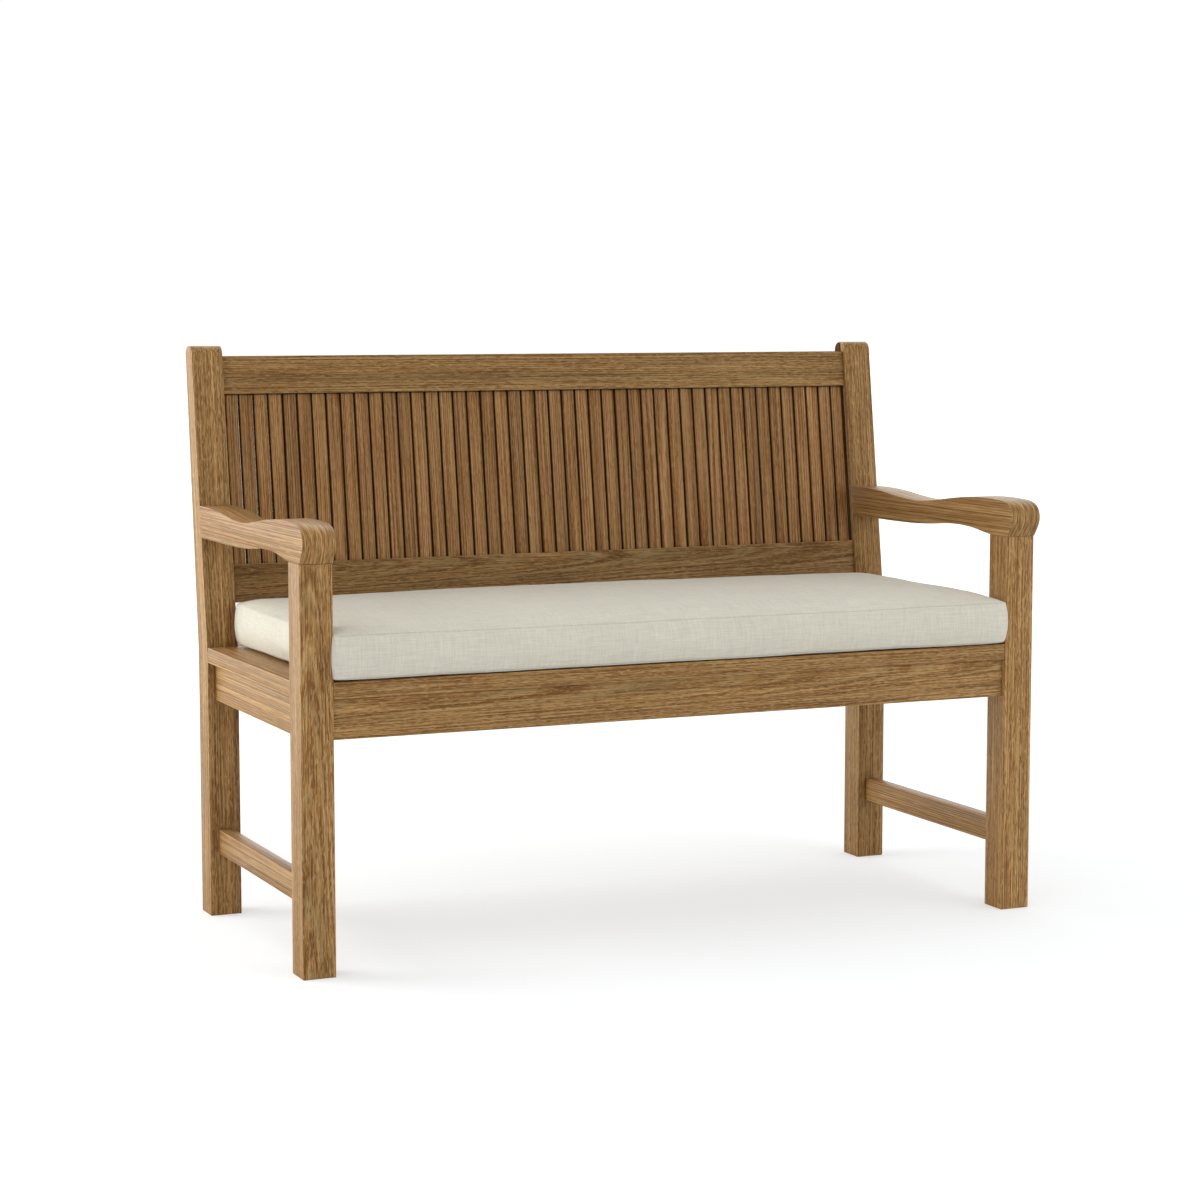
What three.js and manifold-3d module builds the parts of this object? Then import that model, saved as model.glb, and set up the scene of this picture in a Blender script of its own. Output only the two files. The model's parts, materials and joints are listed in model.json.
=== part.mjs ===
// A two-seat garden bench in solid teak with a loose box cushion.
//
// The frame is jointed: two square front legs and two raked rear posts, tied by
// aprons under the seat, a low stretcher at each side, two back rails and two
// sculpted armrests. The back is a row of narrow upright slats, housed in
// grooves in the two back rails. The seat is a border of flush boards round a
// field of lengthwise slats, which lie on bearers. The cushion lies loose on
// the seat.
//
// Millimetres, +Z up. The bench faces -Y and its length runs along X, so left
// is -X. The origin is on the floor, under the middle of the bench's box.

import * as THREE from 'three';
import { mergeVertices } from 'three/addons/utils/BufferGeometryUtils.js';
import Module from 'manifold-3d';

const wasm = await Module();
wasm.setup();

// ---------------------------------------------------------------- dimensions

const CLEARANCE = 0.3; // left between any two pieces that meet

// The frame over all
const LENGTH = 1220; // over the outer faces of the legs
const HEIGHT = 900;
const FOOTPRINT_DEPTH = 520; // front of the front legs to back of the rear posts
const NOSE_OVERHANG = 17; // armrest ahead of the front leg
const POST_LEAN = 50; // back of the post behind its own foot, near the top

// Legs and posts
const LEG = 50; // square section
const LEG_HEIGHT = 600; // front leg, up to the armrest
const POST_BEND_HEIGHT = 417; // where the rear post starts to lean
const POST_TOP_DEPTH = 35;
const POST_TOP_RADIUS = 15;

// Seat frame
const SEAT_HEIGHT = 429; // top of the seat boards
const BOARD_THICKNESS = 24; // every seat board and seat slat
const SIDE_BOARD_WIDTH = 62;
const APRON_HEIGHT = 60;
const APRON_THICKNESS = 24;
const FRONT_APRON_RECESS = 7; // behind the leg's front face
const SIDE_APRON_RECESS = 12.5; // inside the leg's outer face
const SEAT_SLAT_COUNT = 6;
const SEAT_SLAT_WIDTH = 62;
const BEARER_THICKNESS = 20;
const SIDE_BEARER_WIDTH = 45;
const CENTRE_BEARER_WIDTH = 40;
const CENTRE_BEARER_HEIGHT = 40;

// Side stretchers
const STRETCHER_THICKNESS = 22;
const STRETCHER_BOTTOM = 100;
const STRETCHER_TOP = 139;

// Back rails and slats, measured along the lean of the back
const RAIL_THICKNESS = 22;
const RAIL_WIDTH = 60;
const RAIL_RECESS = 7; // behind the post's front face
const LOWER_RAIL_TOP = 556; // height of its front top edge
const TOP_RAIL_TOP = 884;
const SLAT_COUNT = 46;
const SLAT_THICKNESS = 11;
const SLAT_GAP = 3.1;
const END_SLAT_TRIM = 2; // taken off the first and the last slat, beside the posts
const GROOVE_DEPTH = 9;
const FILLET_RECESS = 1.5; // the strip between two slats stops short of the rail's edge

// Armrests, heights above the floor
const ARM_REAR_TOP = 650;
const ARM_DIP_TOP = 640;
const ARM_CREST_TOP = 657.5;
const ARM_ARCH_TOP = 609.3; // highest point of the shallow arch underneath
const NOSE_WIDEST = 630;
const NOSE_FOOT = 1.5; // the nose's lower edge ahead of the leg

// Joinery
const TENON_THICKNESS = 10;
const TENON_LENGTH = 28;
const TENON_SHOULDER = 8; // taken off the rail's top and bottom edges
const ARM_TENON_LENGTH = 20;
const ARM_TENON_WIDTH = 20;
const ARM_TENON_HEIGHT = 24;
const ARM_TENON_BOTTOM = 612;
const LEG_STUB = 24; // square tenon on top of the front leg
const LEG_STUB_HEIGHT = 18;
const ROOT = 1; // how far a tenon starts inside its own piece, and a cut outside its face
const ARM_TENON_ROOT = 5; // the same where the tenon meets the raked post

// Cushion
const CUSHION_LENGTH = 1116;
const CUSHION_OVERHANG = 10; // ahead of the front legs
const CUSHION_BACK_GAP = 48; // from the back of the posts' feet
const CUSHION_THICKNESS = 84; // at the crown
const CUSHION_CORNER_RADIUS = 22;
const CUSHION_EDGE_EASING = 14;

// Finish of each kind of piece
const TEAK = { roughness: 0.62, metalness: 0 };
const LEG_COLOUR = '#b08c60';
const RAIL_COLOUR = '#a9845a';
const SLAT_COLOUR = '#9c7850';
const SEAT_COLOUR = '#b28e62';
const ARM_COLOUR = '#b79468';
const CUSHION_FINISH = { color: '#d6d1c4', roughness: 0.95, metalness: 0 };

// ------------------------------------------------------------- derived places

const DEPTH = NOSE_OVERHANG + FOOTPRINT_DEPTH + POST_LEAN;
const FRONT = -DEPTH / 2 + NOSE_OVERHANG; // front face of the front legs
const BACK = FRONT + FOOTPRINT_DEPTH; // back face of the rear posts at the floor
const OUTER = LENGTH / 2; // outer faces of the legs
const INNER = OUTER - LEG; // inner faces of the legs
const BOARD_BOTTOM = SEAT_HEIGHT - BOARD_THICKNESS;
const APRON_TOP = BOARD_BOTTOM - CLEARANCE;
const APRON_BOTTOM = BOARD_BOTTOM - APRON_HEIGHT;

// Both faces of the post lean back above the bend, the front face more.
const LEAN_RISE = HEIGHT - POST_TOP_RADIUS - POST_BEND_HEIGHT;
const BACK_FACE_SLOPE = POST_LEAN / LEAN_RISE;
const FRONT_FACE_SLOPE = (POST_LEAN + LEG - POST_TOP_DEPTH) / LEAN_RISE;
const RAKE = Math.atan(FRONT_FACE_SLOPE);

const postFrontY = (z) => BACK - LEG + FRONT_FACE_SLOPE * Math.max(0, z - POST_BEND_HEIGHT);
const postBackY = (z) => BACK + BACK_FACE_SLOPE * Math.max(0, z - POST_BEND_HEIGHT);

// The back's own frame lies on the front face of the rails: X along the bench,
// Y into their thickness, Z up the lean, with 0 at the lower rail's top edge.
const BACK_FRAME = new THREE.Matrix4()
  .makeTranslation(0, postFrontY(LOWER_RAIL_TOP) + RAIL_RECESS / Math.cos(RAKE), LOWER_RAIL_TOP)
  .multiply(new THREE.Matrix4().makeRotationX(-RAKE));
const SLAT_OPENING = (TOP_RAIL_TOP - LOWER_RAIL_TOP) / Math.cos(RAKE) - RAIL_WIDTH;

// -------------------------------------------------------------- solid helpers

// A closed manifold-3d solid from a three.js geometry.
function solid(geometry) {
  const bare = geometry.clone();
  bare.deleteAttribute('normal');
  bare.deleteAttribute('uv');
  const merged = mergeVertices(bare, 1e-4);
  const mesh = new wasm.Mesh({
    numProp: 3,
    vertProperties: new Float32Array(merged.attributes.position.array),
    triVerts: new Uint32Array(merged.index.array),
  });
  return new wasm.Manifold(mesh);
}

// A three.js geometry from a manifold-3d solid.
function geometryOf(body) {
  const mesh = body.getMesh();
  const geometry = new THREE.BufferGeometry();
  geometry.setAttribute('position', new THREE.BufferAttribute(new Float32Array(mesh.vertProperties), 3));
  geometry.setIndex(new THREE.BufferAttribute(new Uint32Array(mesh.triVerts), 1));
  geometry.computeVertexNormals();
  return geometry;
}

// A block between two corners, as { low: [x, y, z], high: [x, y, z] }.
function block({ low, high }) {
  const size = high.map((value, axis) => value - low[axis]);
  const geometry = new THREE.BoxGeometry(...size);
  geometry.translate(...low.map((value, axis) => value + size[axis] / 2));
  return geometry;
}

// The same block, grown by the clearance on every side: a mortise for it.
function mortise({ low, high }) {
  return block({
    low: low.map((value) => value - CLEARANCE),
    high: high.map((value) => value + CLEARANCE),
  });
}

// A flat outline drawn in (y, z), extruded along X from x0 to x1.
function extrudeAlongX(outline, x0, x1, curveSegments = 24) {
  const geometry = new THREE.ExtrudeGeometry(outline, {
    depth: x1 - x0,
    bevelEnabled: false,
    curveSegments,
  });
  // The outline's own axes x, y and the extrusion become Y, Z and X.
  geometry.applyMatrix4(new THREE.Matrix4().makeBasis(
    new THREE.Vector3(0, 1, 0),
    new THREE.Vector3(0, 0, 1),
    new THREE.Vector3(1, 0, 0),
  ));
  geometry.translate(x0, 0, 0);
  return geometry;
}

// Mirrors a span of X for the bench's right (+1) or left (-1) side.
function spanOn(side, inner, outer) {
  return side > 0 ? [inner, outer] : [-outer, -inner];
}

// A block that sits on one side of the bench, from an inner to an outer X.
function sideBlock(side, [inner, outer], [y0, y1], [z0, z1]) {
  const [x0, x1] = spanOn(side, inner, outer);
  return { low: [x0, y0, z0], high: [x1, y1, z1] };
}

const bench = new THREE.Group();
const back = new THREE.Group();
BACK_FRAME.decompose(back.position, back.quaternion, back.scale);
bench.add(back);

function addPiece(name, geometry, finish, parent = bench) {
  const mesh = new THREE.Mesh(geometry, new THREE.MeshStandardMaterial(finish));
  mesh.name = name;
  parent.add(mesh);
}

const teak = (color) => ({ ...TEAK, color });
const SIDES = [{ side: -1, label: 'left' }, { side: 1, label: 'right' }];

// ---------------------------------------------------- tenons, each stated once

// The aprons' tenons are centred in the apron's thickness.
const apronTenonSpanZ = [APRON_BOTTOM + TENON_SHOULDER, APRON_TOP - TENON_SHOULDER];
const frontApronY = [FRONT + FRONT_APRON_RECESS, FRONT + FRONT_APRON_RECESS + APRON_THICKNESS];
const rearApronY = [BACK - FRONT_APRON_RECESS - APRON_THICKNESS, BACK - FRONT_APRON_RECESS];
const sideApronX = [OUTER - SIDE_APRON_RECESS - APRON_THICKNESS, OUTER - SIDE_APRON_RECESS];
const sideRunY = [FRONT + LEG + CLEARANCE, BACK - LEG - CLEARANCE];

function middleOf([low, high], thickness) {
  const centre = (low + high) / 2;
  return [centre - thickness / 2, centre + thickness / 2];
}

// Tenon of the front or rear apron, into the leg or post of one side.
function longApronTenon(side, apronY) {
  return sideBlock(
    side,
    [INNER - CLEARANCE - ROOT, INNER + TENON_LENGTH / 2],
    middleOf(apronY, TENON_THICKNESS),
    apronTenonSpanZ,
  );
}

// Tenons of a side apron or stretcher at the front leg and at the rear post.
function sideTenons(side, spanX, spanZ) {
  const across = middleOf(spanX, TENON_THICKNESS);
  const reach = TENON_LENGTH / 2;
  return {
    front: sideBlock(side, across, [FRONT + LEG - reach, FRONT + LEG + ROOT], spanZ),
    rear: sideBlock(side, across, [BACK - LEG - ROOT, BACK - LEG + reach], spanZ),
  };
}

const stretcherX = [
  OUTER - (LEG + STRETCHER_THICKNESS) / 2,
  OUTER - (LEG - STRETCHER_THICKNESS) / 2,
];
const stretcherZ = [STRETCHER_BOTTOM, STRETCHER_TOP];
const stretcherTenonZ = [STRETCHER_BOTTOM + TENON_SHOULDER, STRETCHER_TOP - TENON_SHOULDER];

// Tenon of a back rail, in the back's own frame; bottom is the rail's lower edge.
function railTenon(side, bottom) {
  return sideBlock(
    side,
    [INNER - CLEARANCE - ROOT, INNER + TENON_LENGTH],
    middleOf([0, RAIL_THICKNESS], TENON_THICKNESS),
    [bottom + TENON_SHOULDER, bottom + RAIL_WIDTH - TENON_SHOULDER],
  );
}

const LOWER_RAIL_BOTTOM_EDGE = -RAIL_WIDTH;
const TOP_RAIL_BOTTOM_EDGE = SLAT_OPENING;

// Tenon at the rear end of an armrest, into the rear post.
function armTenon(side) {
  const armBack = postFrontY(ARM_TENON_BOTTOM);
  return sideBlock(
    side,
    middleOf([INNER, OUTER], ARM_TENON_WIDTH),
    [armBack - ARM_TENON_ROOT, armBack + ARM_TENON_LENGTH],
    [ARM_TENON_BOTTOM, ARM_TENON_BOTTOM + ARM_TENON_HEIGHT],
  );
}

// Stub tenon on top of a front leg, into the armrest.
function legStub(side) {
  return sideBlock(
    side,
    middleOf([INNER, OUTER], LEG_STUB),
    middleOf([FRONT, FRONT + LEG], LEG_STUB),
    [LEG_HEIGHT - ROOT, LEG_HEIGHT + LEG_STUB_HEIGHT],
  );
}

// ------------------------------------------------------------- legs and posts

function frontLeg(side) {
  const sideApron = sideTenons(side, sideApronX, apronTenonSpanZ);
  const stretcher = sideTenons(side, stretcherX, stretcherTenonZ);
  return solid(block(sideBlock(side, [INNER, OUTER], [FRONT, FRONT + LEG], [0, LEG_HEIGHT])))
    .add(solid(block(legStub(side))))
    .subtract(solid(mortise(longApronTenon(side, frontApronY))))
    .subtract(solid(mortise(sideApron.front)))
    .subtract(solid(mortise(stretcher.front)));
}

// Side profile of the rear post: upright to the bend, leaning and tapering above
// it, with both top edges rounded over.
function postOutline() {
  const r = POST_TOP_RADIUS;
  const arcZ = HEIGHT - r;
  const backAngle = Math.atan(BACK_FACE_SLOPE);
  const backArcY = postBackY(arcZ) - r / Math.cos(backAngle);
  const frontArcY = postFrontY(arcZ) + r / Math.cos(RAKE);
  const outline = new THREE.Shape();
  outline.moveTo(BACK - LEG, 0);
  outline.lineTo(BACK, 0);
  outline.lineTo(BACK, POST_BEND_HEIGHT);
  outline.absarc(backArcY, arcZ, r, -backAngle, Math.PI / 2, false);
  outline.absarc(frontArcY, arcZ, r, Math.PI / 2, Math.PI - RAKE, false);
  outline.lineTo(BACK - LEG, POST_BEND_HEIGHT);
  outline.closePath();
  return outline;
}

function rearPost(side) {
  const [x0, x1] = spanOn(side, INNER, OUTER);
  const sideApron = sideTenons(side, sideApronX, apronTenonSpanZ);
  const stretcher = sideTenons(side, stretcherX, stretcherTenonZ);
  const railMortises = [LOWER_RAIL_BOTTOM_EDGE, TOP_RAIL_BOTTOM_EDGE]
    .map((bottom) => solid(mortise(railTenon(side, bottom)).applyMatrix4(BACK_FRAME)));
  const cuts = [
    solid(mortise(longApronTenon(side, rearApronY))),
    solid(mortise(sideApron.rear)),
    solid(mortise(stretcher.rear)),
    solid(mortise(armTenon(side))),
    ...railMortises,
  ];
  const post = solid(extrudeAlongX(postOutline(), x0, x1, 8));
  return cuts.reduce((body, cut) => body.subtract(cut), post);
}

for (const { side, label } of SIDES) {
  addPiece(`front_leg_${label}`, geometryOf(frontLeg(side)), teak(LEG_COLOUR));
  addPiece(`rear_post_${label}`, geometryOf(rearPost(side)), teak(LEG_COLOUR));
}

// ------------------------------------------------------------------- armrests

// Side profile of the armrest, drawn from the post forwards: a low hump at the
// post, a dip for the forearm, a rise to a big round nose ahead of the leg, then
// back under the nose to the leg's top and along the shallow arch underneath.
function armOutline() {
  const at = (behindLegFront, z) => new THREE.Vector2(FRONT + behindLegFront, z);
  const rearY = (z) => postFrontY(z) - CLEARANCE / Math.cos(RAKE);
  const underside = LEG_HEIGHT + CLEARANCE;
  const noseY = FRONT - NOSE_OVERHANG;
  const outline = new THREE.Shape();
  outline.moveTo(rearY(ARM_REAR_TOP), ARM_REAR_TOP);
  outline.splineThru([
    at(450, ARM_REAR_TOP), at(398, 647.5), at(345, 642.5), at(300, ARM_DIP_TOP), at(262, 640.3),
    at(215, 645), at(165, 651.5), at(115, 656.2), at(65, ARM_CREST_TOP), at(24, 656.4),
  ]);
  outline.bezierCurveTo(FRONT - 2, 655, noseY, 648, noseY, NOSE_WIDEST);
  outline.bezierCurveTo(noseY, 619, FRONT - 8, 610, FRONT - NOSE_FOOT, underside);
  outline.lineTo(FRONT + LEG, underside);
  outline.splineThru([
    at(75, 603.6), at(105, 607.4), at(140, ARM_ARCH_TOP), at(180, 608.5), at(235, 604),
    at(290, 601.2), at(350, underside), at(420, underside),
  ]);
  outline.lineTo(rearY(underside), underside);
  outline.closePath();
  return outline;
}

function armrest(side) {
  const [x0, x1] = spanOn(side, INNER, OUTER);
  return solid(extrudeAlongX(armOutline(), x0, x1, 10))
    .add(solid(block(armTenon(side))))
    .subtract(solid(mortise(legStub(side))));
}

for (const { side, label } of SIDES) {
  addPiece(`armrest_${label}`, geometryOf(armrest(side)), teak(ARM_COLOUR));
}

// ---------------------------------------------------------- aprons, stretchers

function longApron(apronY) {
  const board = {
    low: [-INNER + CLEARANCE, apronY[0], APRON_BOTTOM],
    high: [INNER - CLEARANCE, apronY[1], APRON_TOP],
  };
  return SIDES.reduce(
    (body, { side }) => body.add(solid(block(longApronTenon(side, apronY)))),
    solid(block(board)),
  );
}

// A rail between the front leg and the rear post of one side.
function sideRail(side, spanX, spanZ, tenonZ) {
  const tenons = sideTenons(side, spanX, tenonZ);
  return solid(block(sideBlock(side, spanX, sideRunY, spanZ)))
    .add(solid(block(tenons.front)))
    .add(solid(block(tenons.rear)));
}

// The centre bearer is stub-tenoned into the front and rear aprons.
const centreBearer = {
  low: [-CENTRE_BEARER_WIDTH / 2, frontApronY[1] + CLEARANCE, APRON_TOP - CENTRE_BEARER_HEIGHT],
  high: [CENTRE_BEARER_WIDTH / 2, rearApronY[0] - CLEARANCE, APRON_TOP],
};
const centreBearerTenon = {
  low: [
    -TENON_THICKNESS,
    frontApronY[1] - TENON_SHOULDER,
    centreBearer.low[2] + TENON_SHOULDER,
  ],
  high: [
    TENON_THICKNESS,
    rearApronY[0] + TENON_SHOULDER,
    centreBearer.high[2] - TENON_SHOULDER,
  ],
};
const centreBearerMortise = solid(mortise(centreBearerTenon));

addPiece(
  'apron_front',
  geometryOf(longApron(frontApronY).subtract(centreBearerMortise)),
  teak(RAIL_COLOUR),
);
addPiece(
  'apron_rear',
  geometryOf(longApron(rearApronY).subtract(centreBearerMortise)),
  teak(RAIL_COLOUR),
);
addPiece(
  'seat_bearer_centre',
  geometryOf(solid(block(centreBearer)).add(solid(block(centreBearerTenon)))),
  teak(RAIL_COLOUR),
);

for (const { side, label } of SIDES) {
  const apron = sideRail(side, sideApronX, [APRON_BOTTOM, APRON_TOP], apronTenonSpanZ);
  const stretcher = sideRail(side, stretcherX, stretcherZ, stretcherTenonZ);
  const bearerX = [sideApronX[0] - CLEARANCE - SIDE_BEARER_WIDTH, sideApronX[0] - CLEARANCE];
  const bearer = sideBlock(side, bearerX, sideRunY, [APRON_TOP - BEARER_THICKNESS, APRON_TOP]);
  addPiece(`apron_${label}`, geometryOf(apron), teak(RAIL_COLOUR));
  addPiece(`stretcher_${label}`, geometryOf(stretcher), teak(RAIL_COLOUR));
  addPiece(`seat_bearer_${label}`, block(bearer), teak(RAIL_COLOUR));
}

// ----------------------------------------------------------------------- seat

// The border boards lie flush with the outer faces of the legs and posts.
for (const { name, y } of [
  { name: 'seat_front_board', y: [FRONT, FRONT + LEG] },
  { name: 'seat_rear_board', y: [BACK - LEG, BACK] },
]) {
  const board = {
    low: [-INNER + CLEARANCE, y[0], BOARD_BOTTOM],
    high: [INNER - CLEARANCE, y[1], SEAT_HEIGHT],
  };
  addPiece(name, block(board), teak(SEAT_COLOUR));
}

for (const { side, label } of SIDES) {
  const board = sideBlock(
    side,
    [OUTER - SIDE_BOARD_WIDTH, OUTER],
    sideRunY,
    [BOARD_BOTTOM, SEAT_HEIGHT],
  );
  addPiece(`seat_side_board_${label}`, block(board), teak(SEAT_COLOUR));
}

// The slats between the front and rear boards share out the gaps evenly.
const slatFieldDepth = FOOTPRINT_DEPTH - 2 * LEG;
const seatSlatGap = (slatFieldDepth - SEAT_SLAT_COUNT * SEAT_SLAT_WIDTH) / (SEAT_SLAT_COUNT + 1);

for (let i = 0; i < SEAT_SLAT_COUNT; i += 1) {
  const y0 = FRONT + LEG + seatSlatGap + i * (SEAT_SLAT_WIDTH + seatSlatGap);
  const reach = OUTER - SIDE_BOARD_WIDTH - CLEARANCE;
  const slat = {
    low: [-reach, y0, BOARD_BOTTOM],
    high: [reach, y0 + SEAT_SLAT_WIDTH, SEAT_HEIGHT],
  };
  addPiece(`seat_slat_${i + 1}`, block(slat), teak(SEAT_COLOUR));
}

// ----------------------------------------------------------------------- back

// The groove that houses the slats runs along the rail's inner edge, for the
// whole width between the posts.
const grooveY = [
  (RAIL_THICKNESS - SLAT_THICKNESS) / 2 - CLEARANCE,
  (RAIL_THICKNESS + SLAT_THICKNESS) / 2 + CLEARANCE,
];

function backRail(bottom, grooveZ) {
  const board = {
    low: [-INNER + CLEARANCE, 0, bottom],
    high: [INNER - CLEARANCE, RAIL_THICKNESS, bottom + RAIL_WIDTH],
  };
  const groove = { low: [-OUTER, grooveY[0], grooveZ[0]], high: [OUTER, grooveY[1], grooveZ[1]] };
  return SIDES.reduce(
    (body, { side }) => body.add(solid(block(railTenon(side, bottom)))),
    solid(block(board)).subtract(solid(block(groove))),
  );
}

addPiece(
  'back_lower_rail',
  geometryOf(backRail(LOWER_RAIL_BOTTOM_EDGE, [-GROOVE_DEPTH, ROOT])),
  teak(RAIL_COLOUR),
  back,
);
addPiece(
  'back_top_rail',
  geometryOf(backRail(TOP_RAIL_BOTTOM_EDGE, [SLAT_OPENING - ROOT, SLAT_OPENING + GROOVE_DEPTH])),
  teak(RAIL_COLOUR),
  back,
);

// The slats stand in pairs. A thin strip between the two, hidden in the groove at
// each end, spaces them, so a pair is an outline with one long slot.
const slatWidth = (2 * INNER - (SLAT_COUNT + 1) * SLAT_GAP) / SLAT_COUNT;
const pairWidth = 2 * slatWidth + SLAT_GAP;
const slatHousing = GROOVE_DEPTH - CLEARANCE;

function rectangle(Kind, x0, x1, y0, y1) {
  const path = new Kind();
  path.moveTo(x0, y0);
  path.lineTo(x1, y0);
  path.lineTo(x1, y1);
  path.lineTo(x0, y1);
  path.closePath();
  return path;
}

function slatPair(trimLeft, trimRight) {
  const outline = rectangle(
    THREE.Shape,
    trimLeft,
    pairWidth - trimRight,
    -slatHousing,
    SLAT_OPENING + slatHousing,
  );
  const slot = rectangle(
    THREE.Path,
    slatWidth,
    slatWidth + SLAT_GAP,
    -FILLET_RECESS,
    SLAT_OPENING + FILLET_RECESS,
  );
  outline.holes.push(slot);
  const geometry = new THREE.ExtrudeGeometry(outline, { depth: SLAT_THICKNESS, bevelEnabled: false });
  geometry.rotateX(Math.PI / 2);
  geometry.translate(0, (RAIL_THICKNESS + SLAT_THICKNESS) / 2, 0);
  return geometry;
}

for (let i = 0; i < SLAT_COUNT / 2; i += 1) {
  const first = String(2 * i + 1).padStart(2, '0');
  const second = String(2 * i + 2).padStart(2, '0');
  const geometry = slatPair(
    i === 0 ? END_SLAT_TRIM : 0,
    i === SLAT_COUNT / 2 - 1 ? END_SLAT_TRIM : 0,
  );
  geometry.translate(-INNER + SLAT_GAP + i * (pairWidth + SLAT_GAP), 0, 0);
  addPiece(`back_slats_${first}_${second}`, geometry, teak(SLAT_COLOUR), back);
}

// -------------------------------------------------------------------- cushion

// A box cushion with rounded corners in plan, eased along its top and bottom.
function cushion() {
  const inset = CUSHION_EDGE_EASING;
  const r = CUSHION_CORNER_RADIUS - inset;
  const x = CUSHION_LENGTH / 2 - inset;
  const y0 = FRONT - CUSHION_OVERHANG + inset;
  const y1 = BACK - CUSHION_BACK_GAP - inset;
  const outline = new THREE.Shape();
  outline.absarc(x - r, y0 + r, r, -Math.PI / 2, 0, false);
  outline.absarc(x - r, y1 - r, r, 0, Math.PI / 2, false);
  outline.absarc(-x + r, y1 - r, r, Math.PI / 2, Math.PI, false);
  outline.absarc(-x + r, y0 + r, r, Math.PI, 1.5 * Math.PI, false);
  outline.closePath();
  const geometry = new THREE.ExtrudeGeometry(outline, {
    depth: CUSHION_THICKNESS - 2 * inset,
    bevelThickness: inset,
    bevelSize: inset,
    bevelSegments: 2,
    curveSegments: 6,
  });
  geometry.translate(0, 0, SEAT_HEIGHT + CLEARANCE + inset);
  return geometry;
}

addPiece('seat_cushion', cushion(), CUSHION_FINISH);

export default bench;
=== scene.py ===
"""A teak garden bench with a loose linen box cushion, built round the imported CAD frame.

The CAD nodes keep their shape and get eased edges and teak materials. The cushion is
a sewn cover blown out by a cloth simulation. Metres, +Z up, the bench faces -Y."""

import json
import math
import random

import bpy
import numpy as np
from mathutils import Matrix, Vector, noise

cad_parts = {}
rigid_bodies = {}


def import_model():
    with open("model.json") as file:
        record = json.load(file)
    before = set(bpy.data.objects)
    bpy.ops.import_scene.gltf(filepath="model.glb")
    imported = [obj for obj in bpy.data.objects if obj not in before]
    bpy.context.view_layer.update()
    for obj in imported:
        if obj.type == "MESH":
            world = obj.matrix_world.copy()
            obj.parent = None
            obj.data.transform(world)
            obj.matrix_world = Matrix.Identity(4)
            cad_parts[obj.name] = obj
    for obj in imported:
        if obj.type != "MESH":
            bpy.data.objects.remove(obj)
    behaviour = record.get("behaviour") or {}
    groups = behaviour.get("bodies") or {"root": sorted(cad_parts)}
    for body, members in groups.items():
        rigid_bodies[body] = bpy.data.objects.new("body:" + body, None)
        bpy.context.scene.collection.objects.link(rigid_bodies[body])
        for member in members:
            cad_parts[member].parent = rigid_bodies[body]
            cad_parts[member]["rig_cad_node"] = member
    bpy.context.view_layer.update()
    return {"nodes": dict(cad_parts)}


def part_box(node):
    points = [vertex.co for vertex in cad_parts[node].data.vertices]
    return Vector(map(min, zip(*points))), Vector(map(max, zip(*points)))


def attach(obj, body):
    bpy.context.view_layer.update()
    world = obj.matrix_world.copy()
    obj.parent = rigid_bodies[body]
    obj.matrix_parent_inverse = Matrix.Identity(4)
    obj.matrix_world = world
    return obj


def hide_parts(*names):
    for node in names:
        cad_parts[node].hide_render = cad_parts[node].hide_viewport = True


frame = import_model()

scene = bpy.context.scene
scene.view_settings.view_transform = "Standard"
scene.view_settings.look = "None"

# ---------------------------------------------------------------- camera

CAMERA_PLACE = (-1.8293, -4.0635, 0.9692)
CAMERA_YAW = math.radians(23.99)  # from +Y towards +X
CAMERA_PITCH = math.radians(6.05)  # downwards
CAMERA_FOV = math.radians(24.095)

camera = bpy.data.objects.new("camera", bpy.data.cameras.new("camera"))
scene.collection.objects.link(camera)
camera.data.angle = CAMERA_FOV
camera.location = CAMERA_PLACE
camera.rotation_euler = (math.pi / 2 - CAMERA_PITCH, 0, -CAMERA_YAW)
scene.camera = camera

# ---------------------------------------------------------------- studio

FLOOR_HALF = 45.0
FLOOR_ALBEDO = (0.83, 0.845, 0.86)
VEIL_HEIGHT = 0.0002
BACKDROP_RADIUS = 48.0
REFLECTOR_RADIUS = 40.0


def mesh_object(name, vertices, faces):
    mesh = bpy.data.meshes.new(name)
    mesh.from_pydata(vertices, [], faces)
    made = bpy.data.objects.new(name, mesh)
    scene.collection.objects.link(made)
    return made


def matt(name, diffuse, glow=0.0):
    """A matt surface, which may glow white."""
    material = bpy.data.materials.new(name)
    material.use_nodes = True
    shader = material.node_tree.nodes["Principled BSDF"]
    shader.inputs["Base Color"].default_value = (*diffuse, 1)
    shader.inputs["Roughness"].default_value = 1.0
    shader.inputs["Specular IOR Level"].default_value = 0.0
    shader.inputs["Emission Color"].default_value = (1, 1, 1, 1)
    shader.inputs["Emission Strength"].default_value = glow
    return material


def plane(name, half, height, material):
    square = [(x * half, y * half, height) for x, y in ((-1, -1), (1, -1), (1, 1), (-1, 1))]
    made = mesh_object(name, square, [(0, 1, 2, 3)])
    made.data.materials.append(material)
    return made


def only_for_camera(made):
    for kind in ("diffuse", "glossy", "transmission", "volume_scatter", "shadow"):
        setattr(made, f"visible_{kind}", False)


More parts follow.
